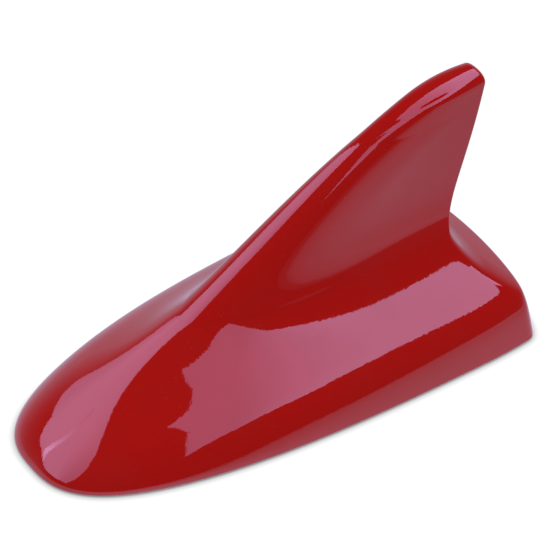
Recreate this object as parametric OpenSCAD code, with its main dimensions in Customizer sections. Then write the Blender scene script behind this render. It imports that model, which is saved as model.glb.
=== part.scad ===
// Shark fin aerial for a car roof, in millimetres.
// One hollow painted moulding stands on strips of foam tape, each with its release liner.
// X runs from the nose (low) to the tail (high), Z is up, and the liners lie on Z = 0.

/* [Body] */
// Length of the moulding from nose to tail
length = 148.5; // [144:0.5:154]
// Height of the moulding from its rim to the top of the fin
height = 71.6; // [68:0.1:78]
// Greatest width of the moulding, at its rim
width = 72.9; // [68:0.1:78]
// Distance from the nose to the widest place
widest = 124; // [110:1:128]
// How much narrower the tail is than the widest place, as a share
tail_taper = 0.04; // [0:0.005:0.12]
// Roundness of the nose seen from above: 2 is an ellipse, more is blunter
nose_fullness = 2.68; // [2.3:0.01:3]
// Inward lean of the skirt at the rim, for each millimetre of height
skirt_draft = 0.385; // [0.2:0.005:0.45]
// Curve of the skirt: what it leans in more for each square millimetre of height.
// It is less than 0, so the skirt stands upright at its top
skirt_curve = -0.011; // [-0.016:0.0005:0]

/* [Crest, seen from the side] */
// Height over which the front of the nose stands upright
nose_front = 9.3; // [6:0.1:11]
// Distance from the nose to the place where the crest turns into the fin's leading edge
crest_run = 48.6; // [45:0.1:52]
// Height of the crest at that place
crest_rise = 28.4; // [25:0.1:30]
// Slope of the crest at that place, in degrees
crest_slope = 31.6; // [28:0.1:35]
// How far the crest keeps that slope ahead of the place
crest_pull_front = 6.5; // [5:0.1:12]
// How far the crest keeps that slope behind the place
crest_pull_back = 40.5; // [36:0.1:46]

/* [Fin] */
// Distance from the tail forward to the corner of the fin's tip
tip_setback = 3.5; // [1:0.1:7]
// How far the top of the fin runs level ahead of its tip
tip_pull = 31.6; // [28:0.1:38]
// Radius of the tip, seen from the side
tip_radius = 2.6; // [2.1:0.1:5]
// Depth over which the top of the fin rounds off, seen from behind
crown = 3.7; // [2:0.1:8]
// Hollow of the trailing edge, less than 0 where it bows out
trailing_hollow = -1.7; // [-3:0.1:1]
// Thickness of the fin near its leading edge
fin_front = 14.2; // [11:0.1:15]
// Thickness of the fin near its trailing edge
fin_back = 9.4; // [7:0.1:10.5]
// How much thinner the fin is at its top than at its foot, as a share
fin_taper = 0.01; // [-0.1:0.01:0.15]
// Depth over which the leading edge rounds off high on the fin, square to the edge
edge_top = 14.5; // [8:0.1:16]
// The same depth carried down to the rim
edge_low = 47; // [35:0.1:60]
// Height over which the one turns into the other
edge_reach = 9.6; // [6:0.1:25]
// Squareness of the leading edge: 2 is an ellipse
edge_square = 1.98; // [1.7:0.01:2.6]
// Length over which the trailing edge rounds off
trailing_round = 1.3; // [1.2:0.1:2]
// Squareness of the trailing edge: 2 is an ellipse
trailing_square = 2.5; // [2:0.1:4]

/* [Flanks] */
// Height of the shoulder at the nose
flank_nose = 13.1; // [11:0.1:16]
// Height of the shoulder half way back
flank_middle = 18.7; // [16:0.1:21]
// Height of the shoulder at the tail
flank_tail = 20.1; // [17:0.1:22]
// Sharpness of the shoulder at the nose
shoulder_nose = 7.9; // [5:0.1:9]
// Sharpness of the shoulder half way back
shoulder_middle = 4.2; // [3:0.1:6]
// Sharpness of the shoulder at the tail
shoulder_tail = 6.3; // [5:0.1:8]
// How fast the flank closes on the fin above the shoulder, at the nose
close_nose = 0.21; // [0.17:0.01:0.5]
// How fast the flank closes on the fin above the shoulder, at the tail
close_tail = 1.16; // [0.8:0.01:1.3]
// Height over which the broad nose narrows to the fin's leading edge
nose_fade = 27.5; // [22:0.1:30]
// Suddenness of that narrowing
fade_power = 2.05; // [1.7:0.01:2.6]
// Height over which the nose gets its leading edge's squareness, as a share of nose_fade
blunt_reach = 0.55; // [0.5:0.01:1.5]

/* [Tail] */
// Distance from the tail forward to the foot of the trailing edge
root_setback = 20; // [17:0.1:22]
// Height of the foot of the trailing edge
root_height = 21.4; // [18:0.1:23]
// Radius between the trailing edge and the deck behind it
root_radius = 21.9; // [15:0.1:26]
// Height over which the deck's corners turn into the trailing edge
root_fade = 10; // [8:0.5:12]
// Forward lean of the tail's face over its height
tail_lean = 2.5; // [1:0.1:6]
// Height of the tail's face
tail_height = 12.8; // [10.5:0.1:14]
// Radius between the tail's face and the deck
tail_radius = 1.9; // [1.5:0.1:5]
// Length of the tail's rounded corners at the rim
corner_rim = 4.8; // [3.5:0.1:8]
// Length of the tail's rounded corners at the deck
corner_deck = 11.3; // [8:0.1:13]
// Squareness of the corners at the rim: 2 is an ellipse
square_rim = 3.3; // [2.5:0.1:5]
// Squareness of the corners at the deck: 2 is an ellipse
square_deck = 12.3; // [8:0.1:13]
// Outward bow of the tail's face at the rim
bow_rim = 4.7; // [2.5:0.1:6]
// Outward bow of the deck's edge
bow_deck = 3; // [1.5:0.1:6]

/* [Wall and ribs] */
// Wall thickness of the moulding, square to its face
wall = 2.4; // [2:0.1:2.6]
// How much thinner the wall is beside the tape, which leaves a step round the tape
step = 1; // [0.6:0.1:1.2]
// Clearance between the top of the tape and the step's ceiling beside the webs
step_gap = 0.15; // [0.1:0.05:0.3]
// Half the thickness of the slot inside the fin where the fin is thin
slot_half = 0.6; // [0.5:0.05:0.8]
// Depth of solid plastic left above the slot at the fin's top
tip_solid = 10; // [8:0.5:16]
// Thickness of the wall that carries the tape's inner edge
land_wall = 1.4; // [1.2:0.1:1.8]
// Thickness of a web or rib at its free edge
rib_edge = 1.2; // [1:0.1:1.6]
// Thickness of a web or rib where it leaves the wall
rib_foot = 1.8; // [1.7:0.1:2.2]
// Number of webs under each side strip
side_webs = 5; // [3:1:7]
// Number of ribs that cross the hollow
cross_ribs = 3; // [2:1:4]
// Distance from the rim up to the free edge of a cross rib
rib_lift = 6; // [4:0.5:8]

/* [Tape] */
// Width of the foam tape
tape_width = 8; // [6:0.5:10]
// Thickness of the foam tape
tape_thick = 1.1; // [0.8:0.1:1.6]
// Thickness of the release liner
liner_thick = 0.15; // [0.1:0.05:0.3]
// Clearance between the tape's outer edge and the rim
tape_gap = 0.4; // [0.3:0.1:0.6]
// Gap between the ends of two strips
strip_gap = 1.5; // [1:0.25:3]
// How far the arms of the nose strip run back past its inner edge
nose_arms = 24; // [16:1:30]
// How far the ends of the tail strip run forward past its inner corners
tail_arms = 5; // [3:0.5:8]
// Radius of the round tab on each liner
tab_radius = 4; // [3:0.25:5]
// Height of the rim above the roof
rim_lift = 0.4; // [0.2:0.1:0.6]

/* [Hidden] */

// Divisions of the curves, of one side of a level, of its tail end and of its height
curve_steps = 28;
bend_steps = 8;
side_steps = 18;
tail_steps = 8;
low_steps = 6;
deck_steps = 12;
fin_steps = 13;
strip_steps = 12;
// Angle of the last level on a quarter turn, which leaves a tiny flat on the tip
last_angle = 88;
// Height of the slabs between which a rib is spanned, and the least length of a level
slab = 0.5;
least = 0.01;
// Share of root_fade that lies below the foot of the trailing edge
root_fade_start = 0.4;
// Height, up and down, over which the slope of the crest is measured
slope_span = 0.8;
// How far the space inside is carried down past the rim
overcut = 1;

// Outline from the side: points are [distance from the nose, height above the rim]
turn = [crest_run, crest_rise];
turn_way = [cos(crest_slope), sin(crest_slope)];
tip = [length - tip_setback, height];
foot = [length - root_setback, root_height];
brow = [length - bow_rim - tail_lean, tail_height];
heel = [length - bow_rim, 0];
trail_way = unit([tip.y - foot.y, foot.x - tip.x]);
trail = (tip + foot) / 2 - 2 * trailing_hollow * trail_way;
tip_bend = bend(tip - [tip_pull, 0], tip, trail, tip_radius);
root_bend = bend(trail, foot, brow, root_radius);
brow_bend = bend(foot, brow, heel, tail_radius);
tip_start = tip_bend[0];
tip_end = tip_bend[bend_steps];
root_start = root_bend[0];
crest = concat(
    [for (i = [0 : curve_steps])
        cubic([0, 0], [0, nose_front], turn - crest_pull_front * turn_way, turn, i / curve_steps)],
    [for (i = [1 : curve_steps])
        cubic(turn, turn + crest_pull_back * turn_way, tip_start - [tip_pull, 0], tip_start,
              i / curve_steps)]);
back = concat([heel], reversed(brow_bend), reversed(root_bend),
    [for (i = [1 : curve_steps - 1]) square_curve(root_start, trail, tip_end, i / curve_steps)],
    reversed(tip_bend));

// A skin is [depth below the painted face, crest table, back table], read by height
outer_skin = skin(0);
middle_skin = skin(wall / 2);
inner_skin = skin(wall);
step_skin = skin(wall - step);

// Heights of the levels: close together at the deck, and closer towards the tip
deck_low = tail_height * 0.8;
deck_high = root_height + root_radius * 0.35;
deck_span = deck_high - deck_low;
levels = concat(
    [for (i = [0 : low_steps - 1]) deck_low * i / low_steps],
    [for (i = [0 : deck_steps - 1]) deck_low + deck_span * i / deck_steps],
    [for (i = [0 : fin_steps]) deck_high + (height - deck_high) * sin(last_angle * i / fin_steps)]);
slot_top = height - tip_solid;
slot_levels = concat([for (z = levels) if (z < slot_top) z], [slot_top]);

// Places of the tape: heights above the rim, depths below the painted face
seat = liner_thick + tape_thick - rim_lift;
tape_outer = wall - step + tape_gap;
tape_inner = tape_outer + tape_width;
land_middle = tape_inner - land_wall / 2;
nose_joint = tape_inner + nose_arms;
tail_joint = heel.x - tape_inner - corner_rim - tail_arms;
side_start = nose_joint + strip_gap;
side_end = tail_joint - strip_gap;

// Ribs are spanned up to this height and trimmed inside the wall
rib_top = root_height + wall;
rib_trim = rib_top - slab / 2;
rib_levels = concat([for (z = levels) if (z < rib_trim) z], [rib_trim]);

function unit(v) = v / norm(v);
function reversed(list) = [for (i = [len(list) - 1 : -1 : 0]) list[i]];
function held(v) = max(0, min(1, v));
function blend(a, b, share) = a + (b - a) * share;
function eased(v) = held(v) * held(v) * (3 - 2 * held(v));

// Point on the curve that leaves a towards b and comes to d from c
function cubic(a, b, c, d, t) =
    pow(1 - t, 3) * a + 3 * pow(1 - t, 2) * t * b + 3 * (1 - t) * t * t * c + pow(t, 3) * d;

// Point on the curve from a to c that is drawn towards b
function square_curve(a, b, c, t) =
    pow(1 - t, 2) * a + 2 * t * (1 - t) * b + t * t * c;

// Round stretch of radius r at the corner b, between the sides towards a and towards c
function bend(a, b, c, r) =
    let (u = unit(a - b), w = unit(c - b), half = acos(u * w) / 2,
         reach = min(r / tan(half), 0.48 * min(norm(a - b), norm(c - b))),
         pull = 4 / 3 * tan((90 - half) / 2) * tan(half),
         p = b + u * reach, q = b + w * reach)
    [for (i = [0 : bend_steps])
        cubic(p, p + (b - p) * pull, q + (b - q) * pull, q, i / bend_steps)];

// Outline moved square to itself by depth: more than 0 is to the right of its way
function moved(line, depth) =
    [for (i = [0 : len(line) - 1])
        let (way = unit(line[min(i + 1, len(line) - 1)] - line[max(i - 1, 0)]))
        line[i] + depth * [way.y, -way.x]];
function by_height(line) = [for (p = line) [p.y, p.x]];
function skin(depth) =
    [depth, by_height(moved(crest, depth)), by_height(moved(back, -depth))];

// Value at share t of the curve through a at the nose, b half way back and c at the tail
function through(a, b, c, t) =
    a * (1 - t) * (1 - 2 * t) + b * 4 * t * (1 - t) + c * t * (2 * t - 1);

// Half the width at a place, at a depth below the painted face.
// The fin's thickness and the body's width are mixed by a share that falls with height,
// and the flatter the flank, the wider the wall measures on the level.
function half_width(x, z, front, rear, depth) =
    let (fin = blend(fin_front, fin_back, held((x - front) / (rear - front))) / 2
             * (1 - fin_taper * z / height),
         past = held((x - widest) / (heel.x - widest)),
         body = width / 2 * (1 - tail_taper * past * past) - (skirt_draft + skirt_curve * z) * z,
         along = held(x / heel.x),
         mid = through(flank_nose, flank_middle, flank_tail, along),
         sharp = through(shoulder_nose, shoulder_middle, shoulder_tail, along),
         close = blend(close_nose, close_tail, along),
         rise = pow(z / mid, sharp),
         share = pow(1 + rise, -close),
         fall = (body - fin) * close * sharp / mid * pow(z / mid, sharp - 1)
             * pow(1 + rise, -close - 1) + share * (skirt_draft + 2 * skirt_curve * z),
         cap = sqrt(1 - pow(held((z - height + crown) / crown), 2)))
    max(cap * blend(fin, body, share) - depth * sqrt(1 + fall * fall),
        depth > 0 ? slot_half : 0);

// One side of a level, from the nose or leading edge back to the middle of the tail:
// the front closes as a blunt ellipse, and the tail as a squarer one that bows outwards
function side_line(z, face) =
    let (front = lookup(z, face[1]), rear = max(lookup(z, face[2]), front + least),
         fade = exp(-pow(z / nose_fade, fade_power)),
         blunt = exp(-pow(z / nose_fade / blunt_reach, fade_power)),
         slant = (lookup(z + slope_span, face[1]) - lookup(z - slope_span, face[1]))
             / (2 * slope_span),
         edge = blend(edge_top, edge_low, exp(-z / edge_reach)) * sqrt(1 + slant * slant),
         run = min(blend(edge, widest, fade), 0.9 * (rear - front)),
         full = blend(edge_square, nose_fullness, blunt),
         low = 1 - eased((z - root_height) / root_fade + root_fade_start),
         up = held(z / tail_height),
         corner = min(blend(trailing_round, blend(corner_rim, corner_deck, up), low),
                      0.45 * (rear - front)),
         square = blend(trailing_square, blend(square_rim, square_deck, up), low),
         bow = blend(bow_rim, bow_deck, held(z / root_height)) * low)
    concat(
        [for (i = [0 : side_steps])
            let (x = front + (rear - corner - front) * (1 - cos(90 * i / side_steps)))
            [x, half_width(x, z, front, rear, face[0]) * nose_share(x, front, run, full)]],
        [for (i = [1 : tail_steps])
            let (part = corner_part(i / tail_steps, square), x = rear - corner * (1 - part.x))
            [x + bow * (1 - part.y * part.y),
             part.y * half_width(x, z, front, rear, face[0]) * nose_share(x, front, run, full)]]);
// Point of a squared quarter circle from [0, 1] to [1, 0], with its points closest at the corner
function corner_part(t, square) =
    let (middle = pow(0.5, 1 / square), one = middle * sin(180 * min(t, 1 - t)),
         other = pow(1 - pow(one, square), 1 / square))
    t < 0.5 ? [one, other] : [other, one];
function nose_share(x, front, run, full) =
    pow(max(0, 1 - pow(1 - held((x - front) / run), full)), 1 / full);

// Whole loop of a level, from the nose back along the left side and forward along the right.
// Facing the nose, the left side is at Y less than 0.
function ring(z, face, lift = 0) =
    let (line = side_line(z, face), last = len(line) - 1)
    concat([for (p = line) [p.x, -p.y, z + lift]],
           [for (i = [last - 1 : -1 : 1]) [line[i].x, line[i].y, z + lift]]);

// Outline at the rim, drawn in from the painted face by depth
function rim_skin(depth) = [depth, [[0, depth]], [[0, heel.x - depth]]];
function rim_half(x, depth) =
    half_width(x, 0, depth, heel.x - depth, depth)
    * nose_share(x, depth, min(widest, 0.9 * (heel.x - 2 * depth)), nose_fullness);
function tail_place(y) = let (rear = heel.x - land_middle)
    rear + bow_rim * (1 - pow(y / rim_half(rear, land_middle), 2));
function rim_outline(depth) = [for (p = ring(0, rim_skin(depth))) [p.x, p.y]];

// Left and right halves of the rim outline ahead of x, and behind x
function both_sides(line) =
    concat([for (p = reversed(line)) [p.x, -p.y]],
           [for (i = [1 : len(line) - 1]) line[i]]);
function nose_line(x, depth) = both_sides(
    [for (i = [0 : strip_steps])
        let (at = depth + (x - depth) * (1 - cos(90 * i / strip_steps)))
        [at, rim_half(at, depth)]]);
function tail_line(x, depth) =
    let (line = side_line(0, rim_skin(depth)))
    both_sides(reversed(concat([[x, rim_half(x, depth)]],
        [for (i = [side_steps : len(line) - 1]) line[i]])));
function side_edge(from, to, depth, side) =
    [for (i = [0 : strip_steps])
        let (x = blend(from, to, i / strip_steps)) [x, side * rim_half(x, depth)]];

// Solid through a list of loops that all have the same number of points
module loft(rings) {
    around = len(rings[0]);
    last = len(rings) - 1;
    polyhedron([for (loop = rings) each loop], concat(
        [[for (i = [0 : around - 1]) i]],
        [[for (i = [around - 1 : -1 : 0]) last * around + i]],
        [for (j = [0 : last - 1], i = [0 : around - 1])
            let (a = j * around + i, b = j * around + (i + 1) % around)
            each [[a, a + around, b + around], [a, b + around, b]]]));
}

// Space inside the moulding: it opens below the rim, and a thin slot of it runs up into the fin
module hollow() {
    loft(concat([ring(0, inner_skin, -overcut)], [for (z = slot_levels) ring(z, inner_skin)]));
    loft([ring(0, step_skin, -overcut), ring(0, step_skin), ring(0, step_skin, seat + step_gap)]);
}

// Upright rib between two points of the plan, thicker at its foot than at its free edge
module rib(from, to, low, high) {
    way = unit(to - from);
    turned = atan2(way.y, way.x);
    translate([from.x, from.y, 0]) rotate(turned) hull() {
        translate([0, -rib_edge / 2, low]) cube([norm(to - from), rib_edge, slab]);
        translate([0, -rib_foot / 2, high]) cube([norm(to - from), rib_foot, slab]);
    }
}

// Short webs that hold the tape up between the rim and the wall inside it
module webs() {
    for (side = [-1, 1]) {
        for (i = [0 : side_webs - 1]) {
            x = blend(side_start, side_end, (i + 0.5) / side_webs);
            rib([x, side * (rim_half(x, land_middle))], [x, side * width / 2],
                seat, rib_top);
        }
        for (share = [0.2, 0.75]) {
            x = blend(tape_inner, nose_joint, share);
            rib([x, side * (rim_half(x, land_middle))], [x, side * width / 2],
                seat, rib_top);
        }
        rib([tail_place(side * width / 5), side * width / 5], [length, side * width / 5],
            seat, rib_top);
    }
    rib([0, 0], [land_middle, 0], seat, rib_top);
    rib([tail_place(0), 0], [length, 0], seat, rib_top);
}

// Inner wall that follows the rim and carries the tape's inner edge
module land() {
    translate([0, 0, seat]) linear_extrude(rib_top) difference() {
        polygon(rim_outline(tape_inner - land_wall));
        polygon(rim_outline(tape_inner));
    }
}

// Ribs across the hollow, with their free edges well above the rim
module cross() {
    for (i = [1 : cross_ribs]) {
        x = blend(nose_joint, tail_joint, i / (cross_ribs + 1));
        reach = rim_half(x, land_middle);
        rib([x, -reach], [x, reach], rib_lift, rib_top);
    }
}

module fin_shell() {
    color("firebrick") translate([-length / 2, 0, rim_lift]) union() {
        difference() {
            loft([for (z = levels) ring(z, outer_skin)]);
            hollow();
        }
        intersection() {
            union() {
                webs();
                land();
                cross();
            }
            loft([for (z = rib_levels) ring(z, middle_skin)]);
        }
    }
}

// One strip, of the tape or of its liner, lying between two heights above the roof
module strip(outline, low, thick) {
    translate([-length / 2, 0, low]) linear_extrude(thick) polygon(outline);
}
function nose_outline() =
    concat(nose_line(nose_joint, tape_outer), reversed(nose_line(nose_joint, tape_inner)));
function tail_outline() =
    concat(tail_line(tail_joint, tape_outer), reversed(tail_line(tail_joint, tape_inner)));
function side_outline(side) =
    concat(side_edge(side_start, side_end, tape_outer, side),
           reversed(side_edge(side_start, side_end, tape_inner, side)));

module tape_nose() { color("dimgray") strip(nose_outline(), liner_thick, tape_thick); }
module tape_left() { color("dimgray") strip(side_outline(-1), liner_thick, tape_thick); }
module tape_right() { color("dimgray") strip(side_outline(1), liner_thick, tape_thick); }
module tape_tail() { color("dimgray") strip(tail_outline(), liner_thick, tape_thick); }

// Each liner has a round tab on its inner edge, to pull it off by
module tab(x, y) {
    translate([x - length / 2, y, 0]) cylinder(r = tab_radius, h = liner_thick, $fn = 48);
}
module liner_nose() {
    color("tomato") union() {
        strip(nose_outline(), 0, liner_thick);
        tab(tape_inner, 0);
    }
}
module side_liner(side) {
    x = (side_start + side_end) / 2;
    color("tomato") union() {
        strip(side_outline(side), 0, liner_thick);
        tab(x, side * rim_half(x, tape_inner));
    }
}
module liner_left() { side_liner(-1); }
module liner_right() { side_liner(1); }
module liner_tail() {
    color("tomato") union() {
        strip(tail_outline(), 0, liner_thick);
        tab(heel.x - tape_inner + bow_rim, 0);
    }
}

fin_shell();
tape_nose();
tape_left();
tape_right();
tape_tail();
liner_nose();
liner_left();
liner_right();
liner_tail();
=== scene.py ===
import bmesh
import bpy
import math
import numpy as np
from mathutils import Matrix, Vector


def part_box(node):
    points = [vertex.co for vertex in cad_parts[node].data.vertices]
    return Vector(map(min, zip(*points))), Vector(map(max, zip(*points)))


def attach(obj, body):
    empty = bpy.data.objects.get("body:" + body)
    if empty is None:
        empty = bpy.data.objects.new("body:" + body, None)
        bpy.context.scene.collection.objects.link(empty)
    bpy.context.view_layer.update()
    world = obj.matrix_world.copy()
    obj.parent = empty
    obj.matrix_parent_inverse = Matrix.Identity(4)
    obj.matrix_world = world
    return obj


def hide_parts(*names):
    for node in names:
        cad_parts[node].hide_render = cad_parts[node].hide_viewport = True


# Shark fin aerial for a car roof: one painted moulding on strips of foam tape with their liners.
# X runs from the nose to the tail and Z is up, in metres. Left is the side at Y less than 0.

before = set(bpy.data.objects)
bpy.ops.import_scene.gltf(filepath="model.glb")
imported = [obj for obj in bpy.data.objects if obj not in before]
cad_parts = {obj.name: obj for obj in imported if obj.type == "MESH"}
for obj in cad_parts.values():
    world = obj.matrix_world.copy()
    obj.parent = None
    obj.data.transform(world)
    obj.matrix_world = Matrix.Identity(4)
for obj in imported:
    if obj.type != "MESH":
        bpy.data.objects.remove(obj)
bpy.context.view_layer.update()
print("stage 1: frame loaded")

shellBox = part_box("fin_shell")
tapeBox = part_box("tape_nose")
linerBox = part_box("liner_nose")
noseAt = shellBox[0][0]
rimLift = shellBox[0][2]

# The body's shape, measured from the nose and from the rim
body = {
    "length": shellBox[1][0] - shellBox[0][0],
    "height": 0.0716,
    "width": shellBox[1][1] - shellBox[0][1],
    "widest": 0.124,
    "tailTaper": 0.04,
    "noseFullness": 2.68,
    "skirtDraft": 0.385,
    "skirtCurve": -11.0,
}
crestLine = {
    "noseFront": 0.0093,
    "run": 0.0486,
    "rise": 0.0284,
    "slope": math.radians(31.6),
    "pullFront": 0.0065,
    "pullBack": 0.0405,
}
fin = {
    "tipSetback": 0.0035,
    "tipPull": 0.0316,
    "tipRadius": 0.0026,
    "trailingHollow": -0.0017,
    "front": 0.0142,
    "back": 0.0094,
    "taper": 0.01,
    "crown": 0.0037,
    "edgeReach": 0.0096,
    "edgeDepth": (0.0145, 0.047),
    "edgeFullness": 1.98,
    "trailingRound": 0.0013,
    "trailingSquare": 2.5,
}
flank = {
    "height": (0.0131, 0.0187, 0.0201),
    "shoulder": (7.9, 4.2, 6.3),
    "close": (0.21, 1.16),
    "noseFade": 0.0275,
    "fadePower": 2.05,
    "bluntReach": 0.55,
}
tail = {
    "rootSetback": 0.02,
    "rootHeight": 0.0214,
    "rootRadius": 0.0219,
    "rootFade": 0.010,
    "rootFadeStart": 0.4,
    "lean": 0.0025,
    "height": 0.0128,
    "radius": 0.0019,
    "cornerRim": 0.0048,
    "cornerDeck": 0.0113,
    "squareRim": 3.3,
    "squareDeck": 12.3,
    "bowRim": 0.0047,
    "bowDeck": 0.003,
}
inside = {
    "wall": 0.0024,
    "step": 0.001,
    "stepGap": 0.00015,
    "slotHalf": 0.0006,
    "tipSolid": 0.010,
    "landWall": 0.0014,
    "ribEdge": 0.0012,
    "ribFoot": 0.0018,
    "sideWebs": 5,
    "crossRibs": 3,
    "ribLift": 0.006,
}
tape = {
    "width": 0.008,
    "gap": 0.0004,
    "stripGap": 0.0015,
    "noseArms": 0.024,
    "tailArms": 0.005,
    "edge": 0.00008,
    "bulge": 0.0001,
    "bulgeRows": ((0.3, 0.8), (0.5, 1.0), (0.7, 0.8)),
    "linerEdge": 0.00002,
    "tabRadius": 0.004,
    "tabSteps": 64,
    "lineSteps": 60,
    "tailSideSteps": 40,
    "tailCornerSteps": 36,
    "armSteps": 12,
}
# How finely the lines are drawn, the span over which the crest's slope is measured, how closely
# the points crowd at the nose, and the largest shares of a length that an end may take
drawing = {
    "bendSteps": 60,
    "lineSteps": 300,
    "slopeSpan": 0.0008,
    "crowding": 1.25,
    "leastLength": 0.00001,
    "bendShare": 0.48,
    "noseRunShare": 0.9,
    "cornerShare": 0.45,
}


# From a to b by a share of the way
def mix(a, b, share):
    return a + (b - a) * share


# Values kept between 0 and 1
def held(v):
    return np.clip(v, 0, 1)


# Share that starts and ends level: v squared times 3 less 2 v
def eased(v):
    return held(v) ** 2 * (3 - 2 * held(v))


# The same way with length 1
def unit(v):
    return v / np.linalg.norm(v)


# Cubic curve that leaves a towards b and comes to d from c: points weighted by (1 - t) and t
def cubic(a, b, c, d, t):
    t = np.asarray(t, float)[:, None]
    return (1 - t) ** 3 * a + 3 * (1 - t) ** 2 * t * b + 3 * (1 - t) * t * t * c + t ** 3 * d


# Curve from a to c that leans to b: points weighted by the squares of (1 - t) and t
def squareCurve(a, b, c, t):
    t = np.asarray(t, float)[:, None]
    return (1 - t) ** 2 * a + 2 * t * (1 - t) * b + t * t * c


# Round stretch of radius r at the corner b, as a cubic whose handles match an arc
def bend(a, b, c, r):
    u = unit(a - b)
    w = unit(c - b)
    half = math.acos(float(u @ w)) / 2
    longest = drawing["bendShare"] * min(np.linalg.norm(a - b), np.linalg.norm(c - b))
    reach = min(r / math.tan(half), longest)
    pull = 4 / 3 * math.tan((math.pi / 2 - half) / 2) * math.tan(half)
    p = b + u * reach
    q = b + w * reach
    steps = np.linspace(0, 1, drawing["bendSteps"])
    return cubic(p, p + (b - p) * pull, q + (b - q) * pull, q, steps)


# The outline from the side, as two lines of [distance from the nose, height above the rim]
def sideOutline():
    turn = np.array([crestLine["run"], crestLine["rise"]])
    turnWay = np.array([math.cos(crestLine["slope"]), math.sin(crestLine["slope"])])
    tip = np.array([body["length"] - fin["tipSetback"], body["height"]])
    foot = np.array([body["length"] - tail["rootSetback"], tail["rootHeight"]])
    brow = np.array([body["length"] - tail["bowRim"] - tail["lean"], tail["height"]])
    heel = np.array([body["length"] - tail["bowRim"], 0.0])
    trailWay = unit(np.array([tip[1] - foot[1], foot[0] - tip[0]]))
    trail = (tip + foot) / 2 - 2 * fin["trailingHollow"] * trailWay
    ahead = np.array([fin["tipPull"], 0])
    tipBend = bend(tip - ahead, tip, trail, fin["tipRadius"])
    rootBend = bend(trail, foot, brow, tail["rootRadius"])
    browBend = bend(foot, brow, heel, tail["radius"])
    steps = np.linspace(0, 1, drawing["lineSteps"])
    crest = np.vstack([
        cubic(np.zeros(2), np.array([0, crestLine["noseFront"]]),
              turn - crestLine["pullFront"] * turnWay, turn, steps),
        cubic(turn, turn + crestLine["pullBack"] * turnWay, tipBend[0] - ahead, tipBend[0],
              steps[1:])])
    back = np.vstack([
        heel[None, :], browBend[::-1], rootBend[::-1],
        squareCurve(rootBend[0], trail, tipBend[-1], steps[1:-1]), tipBend[::-1]])
    return crest, back, heel[0]


crest, back, heelAt = sideOutline()


# A skin holds its depth below the painted face, and the crest and back lines moved square to
# themselves by that depth
def skin(depth):
    def moved(line, by):
        way = np.gradient(line, axis=0)
        way = way / np.linalg.norm(way, axis=1)[:, None]
        return line + by * np.stack([way[:, 1], -way[:, 0]], 1)
    return {"depth": depth, "crest": moved(crest, depth), "back": moved(back, -depth)}


# Outline of the rim, drawn in from the painted face by a depth
def rimSkin(depth):
    return {"depth": depth, "crest": np.array([[depth, 0.0]]),
            "back": np.array([[heelAt - depth, 0.0]])}


# Shares from 0 to 1 that crowd at the start: a quarter turn's 1 - cosine, to a power
def crowded(count):
    return (1 - np.cos(np.linspace(0, math.pi / 2, count))) ** drawing["crowding"]


# Value at share t of the curve through three values, at the nose, half way and at the tail
def throughThree(values, t):
    first, middle, last = values
    return first * (1 - t) * (1 - 2 * t) + middle * 4 * t * (1 - t) + last * t * (2 * t - 1)


# Share of the width at x: with u from 0 at the front to 1 after the run, the root of
# 1 - (1 - u) ^ full
def noseShare(x, front, run, full):
    return np.maximum(0, 1 - (1 - held((x - front) / run)) ** full) ** (1 / full)


# Half the width at a place: the fin's half thickness and the body's half width are mixed by a
# share (1 + (z / height) ^ shoulder) ^ -close, and the depth is measured square to the flank
def halfWidth(x, z, front, rear, depth):
    finHalf = mix(fin["front"], fin["back"], held((x - front) / (rear - front))) / 2
    finHalf = finHalf * (1 - fin["taper"] * z / body["height"])
    past = held((x - body["widest"]) / (heelAt - body["widest"]))
    bodyHalf = body["width"] / 2 * (1 - body["tailTaper"] * past ** 2)
    bodyHalf = bodyHalf - (body["skirtDraft"] + body["skirtCurve"] * z) * z
    along = held(x / heelAt)
    middle = throughThree(flank["height"], along)
    sharp = throughThree(flank["shoulder"], along)
    close = mix(*flank["close"], along)
    up = np.maximum(z, 0) / middle
    share = (1 + up ** sharp) ** -close
    fall = (bodyHalf - finHalf) * close * sharp / middle * up ** (sharp - 1)
    fall = fall * (1 + up ** sharp) ** (-close - 1)
    fall = fall + share * (body["skirtDraft"] + 2 * body["skirtCurve"] * z)
    topPart = held((z - body["height"] + fin["crown"]) / fin["crown"])
    cap = np.sqrt(1 - topPart ** 2)
    half = cap * mix(finHalf, bodyHalf, share) - depth * np.sqrt(1 + fall ** 2)
    return np.maximum(half, inside["slotHalf"] if depth > 0 else 0)


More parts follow.
